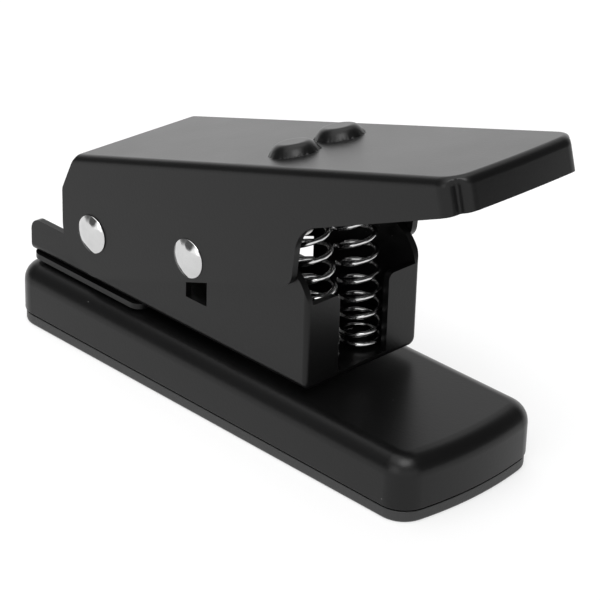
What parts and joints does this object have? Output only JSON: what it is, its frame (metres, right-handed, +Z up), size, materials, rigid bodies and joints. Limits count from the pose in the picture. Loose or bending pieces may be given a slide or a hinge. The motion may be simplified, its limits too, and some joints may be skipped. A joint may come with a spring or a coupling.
{
  "type": "hole punch",
  "caption": "Heavy-duty single-hole lever punch: steel lever hinged over a riveted frame on a flat base, twin return springs, chip tray below.",
  "frame": {"origin": "centre of the base's underside, in the plane it stands on", "axes": "+X towards the front end, where the lever is pressed; +Z up; Y across, symmetric"},
  "size_m": [0.1382, 0.0416, 0.0805],
  "materials": {
    "black_paint": "satin",
    "tray_plastic": "fine texture",
    "chrome_plate": "polished",
    "zinc_steel": "zinc plated",
    "tool_steel": "ground"
  },
  "bodies": {
    "base": {"base_cover": "black_paint", "backing_plate": "zinc_steel", "die_bush": "tool_steel", "spacer_plate": "black_paint", "frame": "black_paint", "mounting_screws": "zinc_steel", "mounting_washers": "zinc_steel", "mounting_nuts": "zinc_steel", "rear_pivot_rivet": "chrome_plate", "pivot_sleeve": "zinc_steel", "punch_guide": "tool_steel", "spring_seat_left": "zinc_steel", "spring_seat_right": "zinc_steel", "spring_left": "chrome_plate", "spring_right": "chrome_plate"},
    "lever": {"lever": "black_paint", "front_cross_rivet": "chrome_plate", "cross_pin_sleeve_left": "zinc_steel", "cross_pin_sleeve_right": "zinc_steel"},
    "punch": {"punch_holder": "tool_steel", "punch_pin": "tool_steel", "punch_retaining_pin": "tool_steel"},
    "tray": {"base_tray": "tray_plastic"}
  },
  "joints": [
    {"name": "lever_pivot", "type": "hinge", "parent": "base", "child": "lever", "pos_m": [-0.038, 0, 0.0307], "axis": [0, 1, 0], "range_deg": [0, 14], "stiffness_Nm_per_rad": 12, "springref_deg": -6.88, "deforming": ["spring_left", "spring_right"]},
    {"name": "punch_slide", "type": "slide", "parent": "base", "child": "punch", "axis": [0, 0, -1], "range_m": [0, 0.0081]},
    {"name": "tray_slide", "type": "slide", "parent": "base", "child": "tray", "axis": [0, 0, -1], "range_m": [0, 0.02]}
  ],
  "couplings": [
    {"joint": "punch_slide", "follows": "lever_pivot", "m_per_rad": 0.032982}
  ]
}
